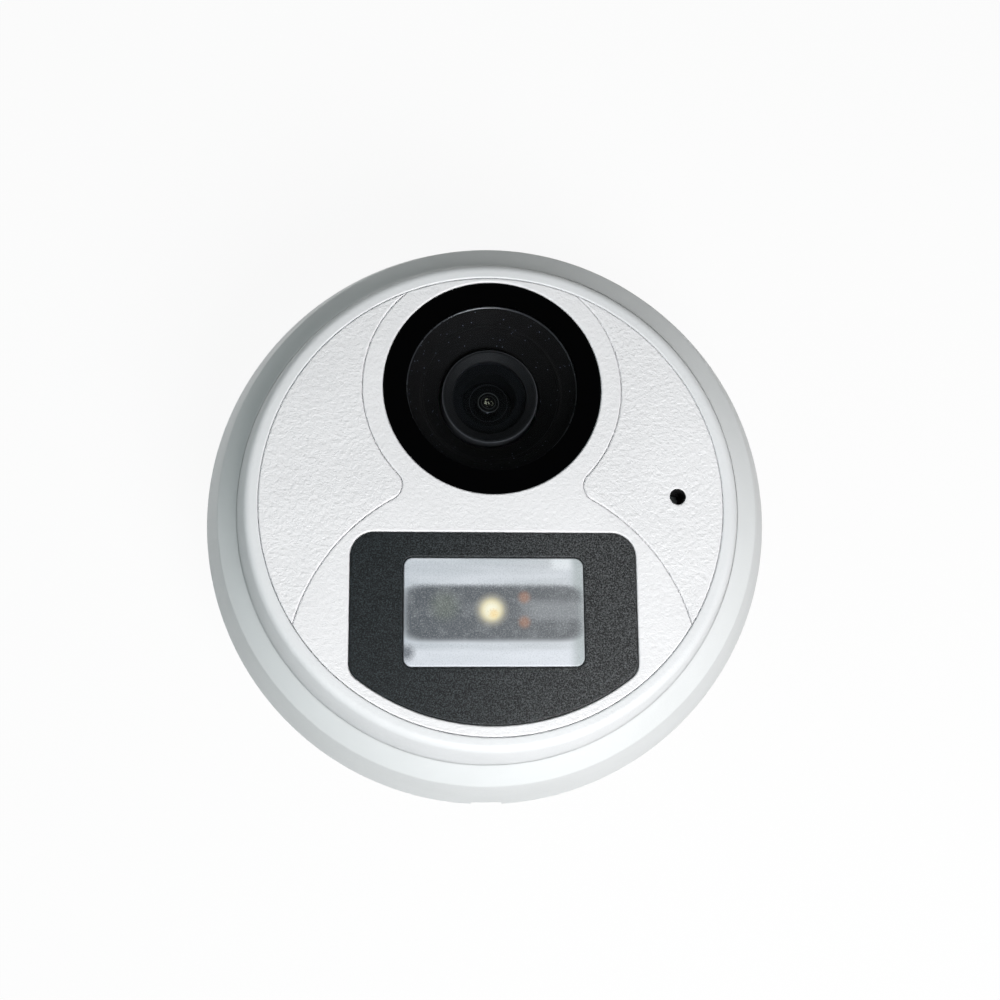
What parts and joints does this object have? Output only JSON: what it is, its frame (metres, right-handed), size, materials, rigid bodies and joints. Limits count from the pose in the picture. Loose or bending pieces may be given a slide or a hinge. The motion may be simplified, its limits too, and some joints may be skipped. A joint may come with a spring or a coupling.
{
  "type": "turret camera",
  "caption": "Turret (eyeball) security camera: a white ball with a flat face, lens window and light panel, clamped in a trim ring on a round base.",
  "frame": {"origin": "centre of the base's flat underside", "axes": "+Z along the base's axis, out through the ball; +Y towards the lens side of the face; +X towards the microphone side"},
  "size_m": [0.11, 0.1098, 0.0699],
  "materials": {
    "white_housing": "fine moulded texture, satin",
    "white_cover": "fine orange-peel texture, matte",
    "charcoal_panel": "speckled fine texture, matte",
    "window_glass": "clear with a black printed border, glossy",
    "black_plastic": "matte",
    "black_metal": "black anodised, satin",
    "frosted_plastic": "frosted, translucent",
    "lens_glass": "coated, polished",
    "reflector_plastic": "satin white",
    "rubber": "matte",
    "board_green": "solder mask, satin",
    "board_grey": "solder mask, satin",
    "chip_black": "matte",
    "amber": "satin",
    "warm_light": "clear dome over a yellow emitter",
    "dark_light": "dark dome",
    "cast_metal": "as cast",
    "steel": "bright",
    "pad_grey": "matte",
    "ivory": "satin"
  },
  "bodies": {
    "base": {"mounting_base": "white_housing"},
    "clamp": {"trim_ring": "white_housing", "grip_ring": "rubber"},
    "pan_seat": {"swivel_seat": "rubber"},
    "tail": {"tail_gland": "black_plastic", "gland_nut": "steel", "cable_grommet": "rubber"},
    "ball": {"front_shell": "white_housing", "rear_shell": "white_housing", "shell_seal": "rubber", "face_cover": "white_cover", "centre_panel": "white_cover", "lens_window": "window_glass", "light_panel": "charcoal_panel", "light_diffuser": "frosted_plastic", "microphone": "steel", "microphone_boot": "rubber", "lens_hood": "black_plastic", "lens_barrel": "black_metal", "front_lens": "lens_glass", "middle_lens": "lens_glass", "rear_lens": "lens_glass", "lens_holder": "black_plastic", "image_sensor": "chip_black", "sensor_board": "board_green", "sensor_screw_1": "steel", "sensor_screw_2": "steel", "chassis": "cast_metal", "main_board": "board_green", "processor": "chip_black", "heat_pad": "pad_grey", "board_connector": "ivory", "reflector": "reflector_plastic", "light_board": "board_grey", "white_light": "warm_light", "infrared_light": "dark_light", "upper_chip": "amber", "lower_chip": "amber", "light_screw_1": "steel", "light_screw_2": "steel", "shell_screw_1": "steel", "shell_screw_2": "steel", "shell_screw_3": "steel"}
  },
  "joints": [
    {"name": "clamp_twist", "type": "hinge", "parent": "base", "child": "clamp", "pos_m": [0, 0, 0.0493], "axis": [0, 0, 1], "range_deg": [0, 20]},
    {"name": "pan", "type": "hinge", "parent": "base", "child": "pan_seat", "pos_m": [0, 0, 0.0493], "axis": [0, 0, 1], "range_deg": [-180, 180]},
    {"name": "tilt", "type": "hinge", "parent": "pan_seat", "child": "tail", "pos_m": [0, 0, 0.0493], "axis": [-0.8387, 0.5446, 0], "range_deg": [-6, 69]},
    {"name": "rotate", "type": "hinge", "parent": "tail", "child": "ball", "pos_m": [0, 0, 0.0493], "axis": [0.0569, 0.0877, 0.9945], "range_deg": [-180, 180]}
  ]
}
